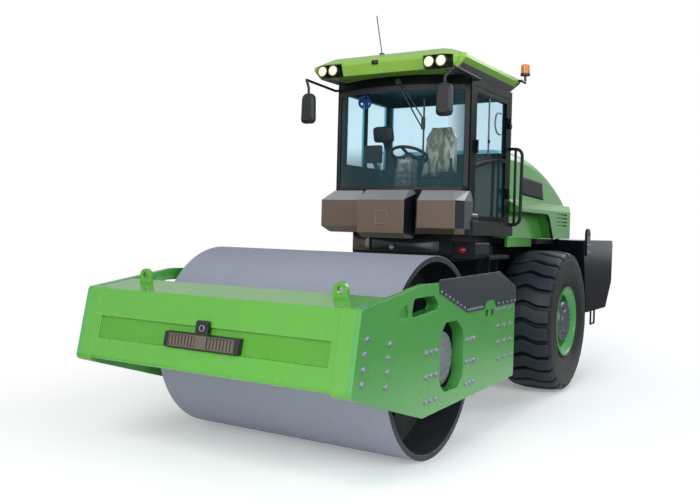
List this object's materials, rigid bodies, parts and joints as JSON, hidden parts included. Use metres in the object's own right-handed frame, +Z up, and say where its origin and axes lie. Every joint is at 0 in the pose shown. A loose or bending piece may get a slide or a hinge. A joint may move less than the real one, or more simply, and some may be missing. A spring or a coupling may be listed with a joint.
{
  "type": "road roller",
  "caption": "Single-drum soil compactor with an articulated, oscillating drum yoke, glazed cab, tilting hood and ballast box.",
  "frame": {"origin": "on the ground, below the middle of the bounding box", "axes": "+X forwards to the drum, +Y to the operator's left, +Z up"},
  "size_m": [7.2113, 2.496, 3.8969],
  "materials": {
    "paint_green": "gloss",
    "paint_dark": "satin",
    "paint_taupe": "satin",
    "drum_steel": "rolled",
    "bare_steel": "machined",
    "rod_chrome": "polished",
    "cast": "painted dark",
    "tyre": "matte",
    "glass": "tinted",
    "trim": "matte",
    "seat_fabric": "woven",
    "lamp": "clear lens",
    "amber": "translucent",
    "red_lens": "lens"
  },
  "bodies": {
    "rear_body": {"rear_frame": "paint_dark", "deck_frame": "paint_dark", "rear_axle": "cast", "cab_platform": "paint_dark", "cab_frame": "paint_dark", "windscreen": "glass", "side_glass": "glass", "rear_glass": "glass", "roof": "paint_green", "fairing_centre": "paint_taupe", "fairing_sides": "paint_taupe", "seat_base": "trim", "seat_cushion": "seat_fabric", "seat_back": "seat_fabric", "operator_console": "trim", "steering_wheel": "trim", "mirrors": "trim", "work_lights": "lamp", "beacon": "amber", "antenna": "trim", "wiper": "trim", "handrails": "paint_dark", "access_steps": "paint_dark", "rear_ballast": "paint_dark", "rear_steps": "bare_steel", "tail_lamps": "red_lens", "power_unit": "paint_dark"},
    "hitch": {"hitch_block": "cast"},
    "front_body": {"front_beam": "paint_green", "side_plate_left": "paint_green", "side_plate_right": "paint_green", "rear_crossmember": "paint_dark", "frame_covers": "paint_dark", "drum_mounts": "bare_steel", "front_lift_eyes": "paint_green", "sensor_bar": "trim"},
    "drum": {"drum_shell": "drum_steel", "drum_ends": "paint_dark"},
    "wheel_left": {"tyre_left": "tyre", "rim_left": "paint_green"},
    "wheel_right": {"tyre_right": "tyre", "rim_right": "paint_green"},
    "door": {"door_frame": "paint_dark", "door_glass": "glass"},
    "engine_hood": {"hood": "paint_green"},
    "barrel_left": {"steer_barrel_left": "paint_dark"},
    "barrel_right": {"steer_barrel_right": "paint_dark"},
    "rod_left": {"steer_rod_left": "rod_chrome"},
    "rod_right": {"steer_rod_right": "rod_chrome"}
  },
  "joints": [
    {"name": "steer", "type": "hinge", "parent": "rear_body", "child": "hitch", "pos_m": [0.3455, 0, 0.8], "axis": [0, 0, 1], "range_deg": [-35, 35]},
    {"name": "oscillation", "type": "hinge", "parent": "hitch", "child": "front_body", "pos_m": [0.7455, 0, 0.8], "axis": [1, 0, 0], "range_deg": [-12, 12]},
    {"name": "drum_spin", "type": "hinge", "parent": "front_body", "child": "drum", "pos_m": [2.0705, 0, 0.8], "axis": [0, 1, 0], "continuous": true},
    {"name": "wheel_left_spin", "type": "hinge", "parent": "rear_body", "child": "wheel_left", "pos_m": [-1.3795, 0.893, 0.801], "axis": [0, 1, 0], "continuous": true},
    {"name": "wheel_right_spin", "type": "hinge", "parent": "rear_body", "child": "wheel_right", "pos_m": [-1.3795, -0.893, 0.801], "axis": [0, 1, 0], "continuous": true},
    {"name": "door_swing", "type": "hinge", "parent": "rear_body", "child": "door", "pos_m": [-0.4035, 0.768, 2.5], "axis": [0, 0, 1], "range_deg": [0, 85]},
    {"name": "hood_tilt", "type": "hinge", "parent": "rear_body", "child": "engine_hood", "pos_m": [-3.1795, 0, 1.86], "axis": [0, -1, 0], "range_deg": [0, 50]},
    {"name": "barrel_left_swing", "type": "hinge", "parent": "rear_body", "child": "barrel_left", "pos_m": [-0.4145, 0.25, 0.755], "axis": [0, 0, 1], "range_deg": [-0.8, 0.8]},
    {"name": "rod_left_slide", "type": "slide", "parent": "barrel_left", "child": "rod_left", "axis": [1, 0, 0], "range_m": [-0.1445, 0.1445]},
    {"name": "barrel_right_swing", "type": "hinge", "parent": "rear_body", "child": "barrel_right", "pos_m": [-0.4145, -0.25, 0.755], "axis": [0, 0, 1], "range_deg": [-0.8, 0.8]},
    {"name": "rod_right_slide", "type": "slide", "parent": "barrel_right", "child": "rod_right", "axis": [1, 0, 0], "range_m": [-0.1445, 0.1445]}
  ],
  "couplings": [
    {"joint": "barrel_left_swing", "follows": "steer", "ratio": -0.019},
    {"joint": "rod_left_slide", "follows": "steer", "m_per_rad": -0.23475},
    {"joint": "barrel_right_swing", "follows": "steer", "ratio": -0.019},
    {"joint": "rod_right_slide", "follows": "steer", "m_per_rad": 0.23475}
  ]
}
